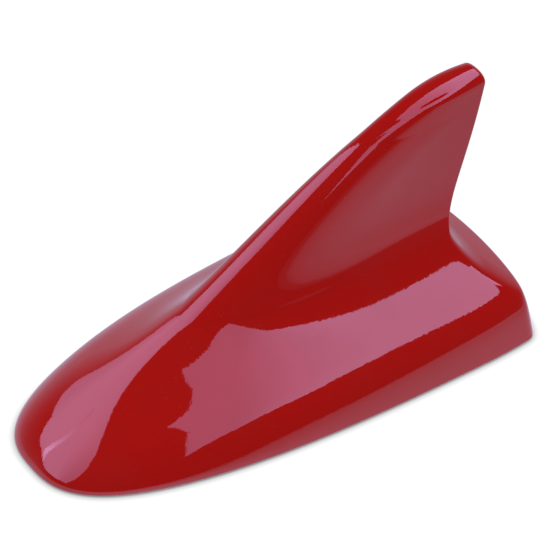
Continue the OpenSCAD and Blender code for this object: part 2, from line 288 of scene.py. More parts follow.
# One side of every level, from the front back to the middle of the tail: along the side
# y = half width * nose share, and round the tail a squared quarter circle that bows outwards
def sideLines(z, face, sideSteps, tailSteps):
    z = np.asarray(z, float)[:, None]
    span = drawing["slopeSpan"]
    front = np.interp(z, face["crest"][:, 1], face["crest"][:, 0])
    rear = np.interp(z, face["back"][:, 1], face["back"][:, 0])
    rear = np.maximum(rear, front + drawing["leastLength"])
    rise = np.maximum(z, 0) / flank["noseFade"]
    fade = np.exp(-rise ** flank["fadePower"])
    blunt = np.exp(-(rise / flank["bluntReach"]) ** flank["fadePower"])
    ahead = np.interp(z - span, face["crest"][:, 1], face["crest"][:, 0])
    behind = np.interp(z + span, face["crest"][:, 1], face["crest"][:, 0])
    slant = (behind - ahead) / (2 * span)
    edgeDepth = mix(*fin["edgeDepth"], np.exp(-np.maximum(z, 0) / fin["edgeReach"]))
    run = mix(edgeDepth * np.sqrt(1 + slant ** 2), body["widest"], fade)
    run = np.minimum(run, drawing["noseRunShare"] * (rear - front))
    full = mix(fin["edgeFullness"], body["noseFullness"], blunt)
    low = 1 - eased((z - tail["rootHeight"]) / tail["rootFade"] + tail["rootFadeStart"])
    up = held(z / tail["height"])
    corner = mix(fin["trailingRound"], mix(tail["cornerRim"], tail["cornerDeck"], up), low)
    corner = np.minimum(corner, drawing["cornerShare"] * (rear - front))
    square = mix(fin["trailingSquare"], mix(tail["squareRim"], tail["squareDeck"], up), low)
    bow = mix(tail["bowRim"], tail["bowDeck"], held(z / tail["rootHeight"])) * low
    along = crowded(sideSteps + 1)
    sideX = front + (rear - corner - front) * along[None, :]
    sideY = halfWidth(sideX, z, front, rear, face["depth"]) * noseShare(sideX, front, run, full)
    t = np.linspace(0, 1, tailSteps + 1)[None, 1:]
    corner45 = 0.5 ** (1 / square)
    one = corner45 * np.sin(math.pi * np.minimum(t, 1 - t))
    other = np.maximum(0, 1 - one ** square) ** (1 / square)
    back1 = np.where(t < 0.5, one, other)
    out1 = np.where(t < 0.5, other, one)
    tailX = rear - corner * (1 - back1)
    tailY = out1 * halfWidth(tailX, z, front, rear, face["depth"])
    tailY = tailY * noseShare(tailX, front, run, full)
    tailY[:, -1] = 0
    tailX = tailX + bow * (1 - out1 ** 2)
    return np.concatenate([sideX, tailX], 1), np.concatenate([sideY, tailY], 1)


# Whole loops of the levels, each from the nose back along the left and forward on the right
def loops(z, face, sideSteps, tailSteps):
    x, y = sideLines(z, face, sideSteps, tailSteps)
    x = np.concatenate([x, x[:, -2:0:-1]], 1)
    y = np.concatenate([-y, y[:, -2:0:-1]], 1)
    height = np.broadcast_to(np.asarray(z, float)[:, None], x.shape)
    return np.stack([x, y, height], 2)


# Loops drawn in by a distance, square to the outline as seen from above
def drawnIn(loop, by):
    way = np.roll(loop, -1, axis=0) - np.roll(loop, 1, axis=0)
    way = way[:, :2] / np.maximum(np.linalg.norm(way[:, :2], axis=1), 1e-9)[:, None]
    moved = loop.copy()
    moved[:, 0] -= by * way[:, 1]
    moved[:, 1] += by * way[:, 0]
    return moved


# Object with a new mesh
def newPiece(name, points, faces):
    mesh = bpy.data.meshes.new(name)
    mesh.from_pydata(points, [], faces)
    mesh.update()
    piece = bpy.data.objects.new(name, mesh)
    bpy.context.collection.objects.link(piece)
    return piece


# Points of rows that were measured from the nose and the rim, in the frame's own place
def placed(rows):
    return (rows.reshape(-1, 3) + [noseAt, 0, rimLift]).tolist()


# Piece from rows of points: each row is a closed loop, four-sided faces join it to the next one,
# and a face closes the first and the last row
def gridPiece(name, rows):
    rows = np.asarray(rows, float)
    index = np.arange(rows.shape[0] * rows.shape[1]).reshape(rows.shape[:2])
    turned = np.roll(index, -1, axis=1)
    faces = np.stack([index[:-1], turned[:-1], turned[1:], index[1:]], 2).reshape(-1, 4).tolist()
    faces.append(index[0, ::-1].tolist())
    faces.append(index[-1].tolist())
    return newPiece(name, placed(rows), faces)


# The cover's mesh: points along a side and round the tail, rows up to the low part, the deck and
# the fin, where those parts end, and the round edge of the rim
coverMesh = {
    "sideSteps": 112,
    "tailSteps": 36,
    "outerRows": (38, 64, 118),
    "innerRows": (12, 26, 16),
    "lowShare": 0.8,
    "deckShare": 0.35,
    "lastAngle": 89.3,
    "topTrim": 0.00003,
    "rimEdge": 0.0004,
    "rimRows": 6,
    "stepFoot": 0.0002,
}


# The skin: rows run from the slot's top down inside to the rim, round its edge, and up the outside
# to the tip. Rows on the fin are spaced by a sine, closest at the top
def coverSkin():
    sideSteps = coverMesh["sideSteps"]
    tailSteps = coverMesh["tailSteps"]
    edge = coverMesh["rimEdge"]
    lowTop = tail["height"] * coverMesh["lowShare"]
    deckTop = tail["rootHeight"] + tail["rootRadius"] * coverMesh["deckShare"]
    lowRows, deckRows, finRows = coverMesh["outerRows"]
    finWay = np.sin(np.radians(coverMesh["lastAngle"]) * np.linspace(0, 1, finRows))
    zOut = np.concatenate([
        np.linspace(edge, lowTop, lowRows)[:-1], np.linspace(lowTop, deckTop, deckRows)[:-1],
        deckTop + (body["height"] - coverMesh["topTrim"] - deckTop) * finWay])
    outer = loops(zOut, skin(0), sideSteps, tailSteps)
    rounding = []
    for angle in np.linspace(0, math.pi / 2, coverMesh["rimRows"])[:-1]:
        loop = drawnIn(outer[0], edge * (1 - math.sin(angle)))
        loop[:, 2] = edge * (1 - math.cos(angle))
        rounding.append(loop)
    ceiling = tapeBox[1][2] - rimLift + inside["stepGap"]
    stepRows = loops([0, coverMesh["stepFoot"], ceiling], skin(inside["wall"] - inside["step"]),
                     sideSteps, tailSteps)
    slotTop = body["height"] - inside["tipSolid"]
    lowRows, deckRows, finRows = coverMesh["innerRows"]
    zIn = np.concatenate([
        np.linspace(ceiling, lowTop, lowRows)[:-1], np.linspace(lowTop, deckTop, deckRows)[:-1],
        np.linspace(deckTop, slotTop, finRows)])
    inner = loops(zIn, skin(inside["wall"]), sideSteps, tailSteps)
    rows = np.concatenate([inner[::-1], stepRows[::-1], np.array(rounding), outer])
    piece = gridPiece("fin_cover", rows)
    # The rows of the inside and the slot's top are raw, and the rest is painted
    share = np.zeros(len(piece.data.polygons), np.int32)
    share[:(len(inner) + 2) * rows.shape[1]] = 1
    share[-2] = 1
    piece.data.polygons.foreach_set("material_index", share)
    piece.data.polygons.foreach_set("use_smooth", np.ones(len(share), bool))
    return piece


cover = coverSkin()
print("stage 2: cover", len(cover.data.polygons), "faces")


# The ribs' and land's mesh, the depth by which they stand in the wall, and their round edges
ribMesh = {
    "sideSteps": 80,
    "tailSteps": 24,
    "trimRows": 60,
    "trimShare": 0.5,
    "trimBelow": 0.00025,
    "edge": 0.0002,
    "edgeSteps": 2,
    "edgeAngle": math.radians(40),
    "noseWebs": (0.2, 0.75),
    "tailWebs": 5,
}


# The space inside the middle of the wall, which trims the ribs
def trimSpace():
    top = tail["rootHeight"] + inside["wall"] - ribMesh["trimBelow"]
    z = np.linspace(0, top, ribMesh["trimRows"])
    middle = skin(inside["wall"] * ribMesh["trimShare"])
    return gridPiece("trim", loops(z, middle, ribMesh["sideSteps"], ribMesh["tailSteps"]))


# Upright rib between two points of the plan, as a box that widens from its edge to its foot
def ribBox(start, end, low, high):
    start = np.array(start, float)
    end = np.array(end, float)
    way = unit(end - start)
    across = np.array([-way[1], way[0]])
    rows = []
    for z, thick in ((low, inside["ribEdge"]), (high, inside["ribFoot"])):
        corners = [start - across * thick / 2, end - across * thick / 2,
                   end + across * thick / 2, start + across * thick / 2]
        rows.append([[c[0], c[1], z] for c in corners])
    return gridPiece("rib", rows)


# Half the width at x at the height of the rim, at a depth below the painted face
def rimHalf(x, depth):
    half = halfWidth(np.asarray(x, float), 0.0, depth, heelAt - depth, depth)
    run = min(body["widest"], drawing["noseRunShare"] * (heelAt - 2 * depth))
    return half * noseShare(x, depth, run, body["noseFullness"])


tapeOuter = inside["wall"] - inside["step"] + tape["gap"]
tapeInner = tapeOuter + tape["width"]
landMiddle = tapeInner - inside["landWall"] / 2
noseJoint = tapeInner + tape["noseArms"]
tailJoint = heelAt - tapeInner - tail["cornerRim"] - tape["tailArms"]
sideStart = noseJoint + tape["stripGap"]
sideEnd = tailJoint - tape["stripGap"]
seat = tapeBox[1][2] - rimLift


# Cuts a piece with another by a boolean, and keeps the result in its mesh
def cutWith(piece, other, operation):
    step = piece.modifiers.new("cut", "BOOLEAN")
    step.operation = operation
    step.object = other
    step.solver = "EXACT"
    settled(piece)


# Applies the modifiers of a piece to its mesh
def settled(piece):
    graph = bpy.context.evaluated_depsgraph_get()
    made = bpy.data.meshes.new_from_object(piece.evaluated_get(graph))
    piece.modifiers.clear()
    swept(made)
    old = piece.data
    piece.data = made
    bpy.data.meshes.remove(old)


# Distance under which two points are one
weldReach = 0.0000002


# Takes out faces with no area, twins in one place, and faces that a cut left joined to nothing
def swept(mesh):
    work = bmesh.new()
    work.from_mesh(mesh)
    bmesh.ops.remove_doubles(work, verts=work.verts, dist=weldReach)
    bmesh.ops.dissolve_degenerate(work, edges=work.edges, dist=weldReach)
    work.verts.index_update()
    twins = {}
    for face in work.faces:
        twins.setdefault(frozenset(corner.index for corner in face.verts), []).append(face)
    stray = {face for same in twins.values() if len(same) > 1 for face in same}
    stray |= {face for face in work.faces
              if len({near for edge in face.edges for near in edge.link_faces}) <= 2}
    bmesh.ops.delete(work, geom=list(stray), context="FACES")
    work.to_mesh(mesh)
    work.free()


# One object with the meshes of several
def joined(name, pieces):
    for other in bpy.context.selected_objects:
        other.select_set(False)
    for one in pieces:
        one.select_set(True)
    bpy.context.view_layer.objects.active = pieces[0]
    bpy.ops.object.join()
    pieces[0].name = name
    return pieces[0]


# Rounds the edges that are sharper than the edge angle
def softEdges(piece):
    edge = piece.modifiers.new("edge", "BEVEL")
    edge.width = ribMesh["edge"]
    edge.segments = ribMesh["edgeSteps"]
    edge.limit_method = "ANGLE"
    edge.angle_limit = ribMesh["edgeAngle"]
    settled(piece)


# The webs under the tape, the wall that carries the tape's inner edge, and the cross ribs
def ribWork():
    trim = trimSpace()
    top = tail["rootHeight"] + inside["wall"]
    boxes = []
    spots = [mix(sideStart, sideEnd, (i + 0.5) / inside["sideWebs"])
             for i in range(inside["sideWebs"])]
    spots += [mix(tapeInner, noseJoint, share) for share in ribMesh["noseWebs"]]
    for side in (-1, 1):
        for x in spots:
            boxes.append(ribBox([x, side * rimHalf(x, landMiddle)], [x, side * body["width"] / 2],
                                seat, top))
    rear = heelAt - landMiddle
    spread = body["width"] / ribMesh["tailWebs"]
    for y in (-spread, 0, spread):
        start = rear + tail["bowRim"] * (1 - (y / rimHalf(rear, landMiddle)) ** 2)
        boxes.append(ribBox([start, y], [body["length"], y], seat, top))
    boxes.append(ribBox([0, 0], [landMiddle, 0], seat, top))
    for i in range(1, inside["crossRibs"] + 1):
        x = mix(noseJoint, tailJoint, i / (inside["crossRibs"] + 1))
        reach = rimHalf(x, landMiddle)
        boxes.append(ribBox([x, -reach], [x, reach], inside["ribLift"], top))
    for box in boxes:
        softEdges(box)
    land = landWall(top)
    for one in [*boxes, land]:
        cutWith(one, trim, "INTERSECT")
    bpy.data.objects.remove(trim)
    return joined("fin_ribs", [*boxes, land])


# The wall that carries the tape's inner edge: its section runs down its outer face, across its
# foot and up its inner face, and the last row meets the first again
def landWall(top):
    edge = ribMesh["edge"]
    steps = (ribMesh["sideSteps"], ribMesh["tailSteps"])
    outerLoop = loops([0], rimSkin(tapeInner - inside["landWall"]), *steps)[0]
    innerLoop = loops([0], rimSkin(tapeInner), *steps)[0]
    rows = []
    for loop, by, z in ((outerLoop, 0, top), (outerLoop, 0, seat + edge), (outerLoop, edge, seat),
                        (innerLoop, -edge, seat), (innerLoop, 0, seat + edge), (innerLoop, 0, top)):
        row = drawnIn(loop, by)
        row[:, 2] = z
        rows.append(row)
    rows = np.asarray(rows, float)
    index = np.arange(rows.shape[0] * rows.shape[1]).reshape(rows.shape[:2])
    after = np.roll(index, -1, axis=0)
    faces = np.stack([index, after, np.roll(after, -1, axis=1), np.roll(index, -1, axis=1)], 2)
    return newPiece("land", placed(rows), faces.reshape(-1, 4).tolist())


ribs = ribWork()
print("stage 3: ribs", len(ribs.data.polygons), "faces")


# One strip of tape or liner: its outline is extruded between two heights, with soft edges and a
# side that bulges by a share at each of three heights
def stripPiece(name, outline, low, high, edge, bulge=0.0):
    outline = np.asarray(outline, float)
    flat = np.concatenate([outline, np.zeros((len(outline), 1))], 1)
    if signedArea(outline) < 0:
        flat = flat[::-1]
    levels = [(low, edge), (low + edge, 0)]
    levels += [(mix(low, high, at), -bulge * share) for at, share in tape["bulgeRows"]]
    levels += [(high - edge, 0), (high, edge)]
    rows = []
    for z, by in levels:
        row = drawnIn(flat, by)
        row[:, 2] = z - rimLift
        rows.append(row)
    return gridPiece(name, rows)


# Area inside a closed outline, more than 0 where it runs against the clock
def signedArea(outline):
    x, y = outline[:, 0], outline[:, 1]
    return 0.5 * np.sum(x * np.roll(y, -1) - y * np.roll(x, -1))


# A line from the middle outwards, and its mirror image before it
def bothSides(line):
    return np.concatenate([line[::-1] * [1, -1], line[1:]])


# Round the nose as far back as x, at a depth below the painted face
def noseLine(x, depth):
    at = depth + (x - depth) * crowded(tape["lineSteps"])
    return bothSides(np.stack([at, rimHalf(at, depth)], 1))


# Round the tail from x on, at a depth below the painted face
def tailLine(x, depth):
    sideSteps = tape["tailSideSteps"]
    lineX, lineY = sideLines([0], rimSkin(depth), sideSteps, tape["tailCornerSteps"])
    line = np.stack([lineX[0, sideSteps:], lineY[0, sideSteps:]], 1)
    ahead = np.linspace(x, line[0, 0], tape["armSteps"])[:-1]
    line = np.concatenate([np.stack([ahead, rimHalf(ahead, depth)], 1), line])
    return bothSides(line[::-1])


# Along one side between the joints, at a depth below the painted face
def sideEdge(depth, side):
    x = np.linspace(sideStart, sideEnd, tape["lineSteps"])
    return np.stack([x, side * rimHalf(x, depth)], 1)

stripOutlines = {
    "nose": np.concatenate([noseLine(noseJoint, tapeOuter), noseLine(noseJoint, tapeInner)[::-1]]),
    "left": np.concatenate([sideEdge(tapeOuter, -1), sideEdge(tapeInner, -1)[::-1]]),
    "right": np.concatenate([sideEdge(tapeOuter, 1), sideEdge(tapeInner, 1)[::-1]]),
    "tail": np.concatenate([tailLine(tailJoint, tapeOuter), tailLine(tailJoint, tapeInner)[::-1]]),
}


# Thin round tab on the inner edge of each liner, joined to its strip
def tabPiece(x, y, thick):
    angle = np.linspace(0, 2 * math.pi, tape["tabSteps"] + 1)[:-1]
    circle = np.stack([x + tape["tabRadius"] * np.cos(angle),
                       y + tape["tabRadius"] * np.sin(angle)], 1)
    return stripPiece("tab", circle, 0.0, thick, tape["linerEdge"])


sideMiddle = (sideStart + sideEnd) / 2
tabSpots = {
    "nose": (tapeInner, 0.0),
    "left": (sideMiddle, -float(rimHalf(sideMiddle, tapeInner))),
    "right": (sideMiddle, float(rimHalf(sideMiddle, tapeInner))),
    "tail": (heelAt - tapeInner + tail["bowRim"], 0.0),
}
linerThick = linerBox[1][2]
tapeTop = tapeBox[1][2]
tapePieces = {}
linerPieces = {}
for place, outline in stripOutlines.items():
    tapePieces[place] = stripPiece("foam_" + place, outline, linerThick, tapeTop, tape["edge"],
                                   tape["bulge"])
    liner = stripPiece("film_" + place, outline, 0.0, linerThick, tape["linerEdge"])
    tab = tabPiece(*tabSpots[place], linerThick)
    cutWith(liner, tab, "UNION")
    bpy.data.objects.remove(tab)
    linerPieces[place] = liner
print("stage 4: tape and liners")


# Links a socket, or sets a value, on the inputs of a node by name or number
def feed(tree, node, inputs):
    for key, value in inputs.items():
        if hasattr(value, "is_output"):
            tree.links.new(value, node.inputs[key])
        else:
            node.inputs[key].default_value = value


def addNode(tree, kind, inputs=None, **settings):
    node = tree.nodes.new(kind)
    for key, value in settings.items():
        setattr(node, key, value)
    feed(tree, node, inputs or {})
    return node


# Output of a sum on one to three values
def addMath(tree, operation, *values, clamp=False):
    return addNode(tree, "ShaderNodeMath", dict(enumerate(values)), operation=operation,
                   use_clamp=clamp).outputs[0]


# Value carried over from one range to another, and held at its ends
def addRange(tree, value, start, end, toStart=0.0, toEnd=1.0, smooth=False):
    return addNode(tree, "ShaderNodeMapRange",
                   {"Value": value, "From Min": start, "From Max": end, "To Min": toStart,
                    "To Max": toEnd},
                   interpolation_type="SMOOTHSTEP" if smooth else "LINEAR").outputs[0]


def addVector(tree, operation, *values):
    return addNode(tree, "ShaderNodeVectorMath", dict(enumerate(values)), operation=operation)


def addNoise(tree, place, scale, detail, distortion=0.0):
    return addNode(tree, "ShaderNodeTexNoise", {"Vector": place, "Scale": scale, "Detail": detail,
                                                "Distortion": distortion}).outputs[0]


def addBump(tree, height, distance):
    return addNode(tree, "ShaderNodeBump", {"Height": height, "Distance": distance}).outputs[0]


# Brightness or colour over a value from 0 to 1, with stops [position, colour]
def addRamp(tree, value, stops):
    ramp = addNode(tree, "ShaderNodeValToRGB", {0: value})
    elements = ramp.color_ramp.elements
    for position, colour in stops[1:-1]:
        elements.new(position)
    for element, (position, colour) in zip(elements, stops):
        element.color = (*colour, 1)
    return ramp.outputs[0]


def newMaterial(name):
    material = bpy.data.materials.new(name)
    material.use_nodes = True
    tree = material.node_tree
    tree.nodes.clear()
    output = tree.nodes.new("ShaderNodeOutputMaterial")
    shader = tree.nodes.new("ShaderNodeBsdfPrincipled")
    tree.links.new(shader.outputs[0], output.inputs[0])
    place = tree.nodes.new("ShaderNodeTexCoord")
    return material, tree, shader, place.outputs["Object"]


# Colour from a to b by a share
def mixNode(tree, share, a, b):
    node = tree.nodes.new("ShaderNodeMix")
    node.data_type = "RGBA"
    places = {one.identifier: place for place, one in enumerate(node.inputs)}
    feed(tree, node, {places["Factor_Float"]: share, places["A_Color"]: a, places["B_Color"]: b})
    return [one for one in node.outputs if one.enabled][0]


# Dust that settles on every surface: specks are cells nearer to their middle than a random
# share of Amount, and haze is a slow noise
dustLook = {
    "speckEdge": 0.06,
    "hazeScale": 0.06,
    "hazeDetail": 3.0,
    "hazeFrom": 0.42,
    "hazeTo": 0.68,
}


def dustGroup():
    tree = bpy.data.node_groups.new("dust", "ShaderNodeTree")
    for name, way, kind in (("Place", "INPUT", "Vector"), ("Scale", "INPUT", "Float"),
                            ("Amount", "INPUT", "Float"), ("Specks", "OUTPUT", "Float"),
                            ("Haze", "OUTPUT", "Float")):
        tree.interface.new_socket(name, in_out=way, socket_type="NodeSocket" + kind)
    into = tree.nodes.new("NodeGroupInput").outputs
    out = tree.nodes.new("NodeGroupOutput")
    cells = addNode(tree, "ShaderNodeTexVoronoi", {"Vector": into["Place"], "Scale": into["Scale"]})
    chance = addNode(tree, "ShaderNodeSeparateColor", {0: cells.outputs["Color"]})
    size = addMath(tree, "MULTIPLY", chance.outputs[0], into["Amount"])
    left = addMath(tree, "SUBTRACT", size, cells.outputs["Distance"])
    slow = addMath(tree, "MULTIPLY", into["Scale"], dustLook["hazeScale"])
    noise = addNoise(tree, into["Place"], slow, dustLook["hazeDetail"])
    feed(tree, out, {"Specks": addRange(tree, left, 0.0, dustLook["speckEdge"]),
                     "Haze": addRange(tree, noise, dustLook["hazeFrom"], dustLook["hazeTo"])})
    return tree


dust = dustGroup()


# Specks and haze for one material, from the scale and amount in its dictionary
def addDust(tree, place, look):
    node = tree.nodes.new("ShaderNodeGroup")
    node.node_tree = dust
    feed(tree, node, {"Scale": look["dustScale"], "Amount": look["dustAmount"], "Place": place})
    return node.outputs["Specks"], node.outputs["Haze"]


# Glossy red paint: orange peel in its clear coat, a faint drift of its tone, haze and few specks.
# The peel is a coarse noise plus a share of a fine one, and haze and specks take from the coat
redPaint = {
    "colour": (0.362, 0.0036, 0.0028, 1),
    "driftColour": (0.348, 0.0050, 0.0040, 1),
    "dustColour": (0.46, 0.30, 0.29, 1),
    "peelScale": 420.0,
    "fineScale": 1500.0,
    "fineShare": 0.3,
    "peelDetail": 2.0,
    "peelHeight": 0.00001,
    "roughness": 0.4,
    "coatRoughness": 0.03,
    "coatHaze": -0.05,
    "coatSpecks": -0.6,
    "dustScale": 1100.0,
    "dustAmount": 0.10,
    "dustShare": 0.5,
}


def paintMaterial():
    material, tree, shader, place = newMaterial("red_paint")
    peel = addNoise(tree, place, redPaint["peelScale"], redPaint["peelDetail"])
    fine = addNoise(tree, place, redPaint["fineScale"], redPaint["peelDetail"])
    height = addMath(tree, "MULTIPLY_ADD", fine, redPaint["fineShare"], peel)
    specks, haze = addDust(tree, place, redPaint)
    tone = mixNode(tree, haze, redPaint["colour"], redPaint["driftColour"])
    dulled = addMath(tree, "MULTIPLY", specks, redPaint["dustShare"])
    tone = mixNode(tree, dulled, tone, redPaint["dustColour"])
    coat = addMath(tree, "MULTIPLY_ADD", haze, redPaint["coatHaze"], 1.0)
    coat = addMath(tree, "MULTIPLY_ADD", specks, redPaint["coatSpecks"], coat)
    feed(tree, shader, {"Base Color": tone, "Coat Weight": coat,
                        "Coat Normal": addBump(tree, height, redPaint["peelHeight"]),
                        "Roughness": redPaint["roughness"], "Specular IOR Level": 0.0,
                        "Coat Roughness": redPaint["coatRoughness"]})
    return material


# Black moulded plastic inside the cover: a fine grain, flow marks, and red overspray that is the
# sum of both noises times a share that falls with height above the rim
rawPlastic = {
    "colour": (0.018, 0.018, 0.020, 1),
    "flowColour": (0.032, 0.031, 0.033, 1),
    "sprayColour": (0.20, 0.006, 0.005, 1),
    "sprayTop": 0.0075,
    "sprayLevels": (1.3, -0.4),
    "sprayShare": 0.75,
    "grainScale": 2500.0,
    "grainDetail": 3.0,
    "grainHeight": 0.00002,
    "flowScale": 60.0,
    "flowDetail": 4.0,
    "flowDistortion": 1.5,
    "roughness": 0.38,
    "hazeRoughness": 0.14,
    "dustColour": (0.22, 0.21, 0.20, 1),
    "dustScale": 700.0,
    "dustAmount": 0.22,
}


def rawMaterial():
    material, tree, shader, place = newMaterial("raw_plastic")
    grain = addNoise(tree, place, rawPlastic["grainScale"], rawPlastic["grainDetail"])
    flow = addNoise(tree, place, rawPlastic["flowScale"], rawPlastic["flowDetail"],
                    rawPlastic["flowDistortion"])
    part = addNode(tree, "ShaderNodeSeparateXYZ", {0: place})
    reach = addRange(tree, part.outputs[2], 0.0, rawPlastic["sprayTop"], *rawPlastic["sprayLevels"])
    mist = addMath(tree, "MULTIPLY", addMath(tree, "ADD", grain, flow), reach, clamp=True)
    mist = addMath(tree, "MULTIPLY", mist, rawPlastic["sprayShare"])
    specks, haze = addDust(tree, place, rawPlastic)
    tone = mixNode(tree, flow, rawPlastic["colour"], rawPlastic["flowColour"])
    tone = mixNode(tree, mist, tone, rawPlastic["sprayColour"])
    tone = mixNode(tree, specks, tone, rawPlastic["dustColour"])
    rough = addMath(tree, "MULTIPLY_ADD", haze, rawPlastic["hazeRoughness"], rawPlastic["roughness"])
    feed(tree, shader, {"Base Color": tone, "Roughness": rough,
                        "Normal": addBump(tree, grain, rawPlastic["grainHeight"])})
    return material


# Black foam tape: small open cells, with painted shade that makes each cell darker in its hollow
foamTape = {
    "colour": (0.012, 0.012, 0.013, 1),
    "wallColour": (0.050, 0.050, 0.053, 1),
    "cells": 3600.0,
    "depth": 0.00008,
    "roughness": 0.82,
    "hazeRoughness": 0.08,
    "dustColour": (0.26, 0.25, 0.24, 1),
    "dustScale": 900.0,
    "dustAmount": 0.2,
}


def foamMaterial():
    material, tree, shader, place = newMaterial("foam")
    cells = addNode(tree, "ShaderNodeTexVoronoi", {"Vector": place, "Scale": foamTape["cells"]})
    cells = cells.outputs["Distance"]
    specks, haze = addDust(tree, place, foamTape)
    # Painted shade: the colour goes from the dark shaded hollow in each cell's middle to the lighter
    # cell wall
    tone = mixNode(tree, cells, foamTape["colour"], foamTape["wallColour"])
    tone = mixNode(tree, specks, tone, foamTape["dustColour"])
    rough = addMath(tree, "MULTIPLY_ADD", haze, foamTape["hazeRoughness"], foamTape["roughness"])
    feed(tree, shader, {"Base Color": tone, "Roughness": rough,
                        "Normal": addBump(tree, cells, foamTape["depth"])})
    return material


# Red release film: slow waves, faint rub marks along it and dust. Rub marks and haze make it
# rougher
linerFilm = {
    "colour": (0.52, 0.030, 0.024, 1),
    "rubColour": (0.60, 0.070, 0.055, 1),
    "waves": 180.0,
    "waveDetail": 2.0,
    "waveHeight": 0.00003,
    "rubStretch": (0.08, 1.0, 1.0),
    "rubScale": 2200.0,
    "rubDetail": 3.0,
    "roughness": 0.14,
    "rubRoughness": 0.24,
    "hazeRoughness": 0.08,
    "dustColour": (0.60, 0.45, 0.43, 1),
    "dustScale": 800.0,
    "dustAmount": 0.18,
}


def linerMaterial():
    material, tree, shader, place = newMaterial("liner_film")
    waves = addNoise(tree, place, linerFilm["waves"], linerFilm["waveDetail"])
    stretched = addNode(tree, "ShaderNodeMapping", {"Vector": place,
                                                    "Scale": linerFilm["rubStretch"]})
    rubs = addNoise(tree, stretched.outputs[0], linerFilm["rubScale"], linerFilm["rubDetail"])
    specks, haze = addDust(tree, place, linerFilm)
    tone = mixNode(tree, rubs, linerFilm["colour"], linerFilm["rubColour"])
    tone = mixNode(tree, specks, tone, linerFilm["dustColour"])
    rough = addMath(tree, "MULTIPLY_ADD", rubs, linerFilm["rubRoughness"], linerFilm["roughness"])
    rough = addMath(tree, "MULTIPLY_ADD", haze, linerFilm["hazeRoughness"], rough)
    feed(tree, shader, {"Base Color": tone, "Roughness": rough,
                        "Normal": addBump(tree, waves, linerFilm["waveHeight"])})
    return material


paint = paintMaterial()
raw = rawMaterial()
foam = foamMaterial()
film = linerMaterial()
cover.data.materials.append(paint)
cover.data.materials.append(raw)
ribs.data.materials.clear()
ribs.data.materials.append(raw)
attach(cover, "root")
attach(ribs, "root")
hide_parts("fin_shell")
for place in stripOutlines:
    for piece, material, node, slot in (
            (tapePieces[place], foam, "tape_" + place, "foam"),
            (linerPieces[place], film, "liner_" + place, "liner")):
        piece.data.materials.clear()
        piece.data.materials.append(material)
        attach(piece, "root")
        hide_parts(node)
print("stage 5: materials")


# The camera stands off the nose's left side, looking down
camera = {
    "azimuth": math.radians(-34.16),
    "elevation": math.radians(41.99),
    "aim": (0.00693, 0.00259, 0.02293),
    "distance": 0.8683,
    "lens": 209.7,
    "sensor": 36,
    "clipEnd": 20,
    "offset": (-0.00072, 0.00214),
}


def addCamera():
    a = camera["azimuth"]
    e = camera["elevation"]
    away = Vector((math.sin(a) * math.cos(e), -math.cos(a) * math.cos(e), math.sin(e)))
    right = Vector((math.cos(a), math.sin(a), 0))
    up = away.cross(right)
    data = bpy.data.cameras.new("camera")
    data.lens = camera["lens"]
    data.sensor_width = camera["sensor"]
    data.clip_end = camera["clipEnd"]
    eye = bpy.data.objects.new("camera", data)
    bpy.context.collection.objects.link(eye)
    aim = Vector(camera["aim"]) + right * camera["offset"][0] + up * camera["offset"][1]
    frameOf = Matrix((right, up, away)).transposed().to_4x4()
    eye.matrix_world = Matrix.Translation(aim + away * camera["distance"]) @ frameOf
    bpy.context.scene.camera = eye


addCamera()


# Two soft lamps, a flag before one of them and a thin tube, and a white table in a dark room.
# Away is the way along the floor from the camera
studio = {
    "lampTint": (0.74, 0.625, 1.06),
    "table": (0.66, 0.70, 0.94),
    "away": (0.5617, 0.8273, 0.0),
}
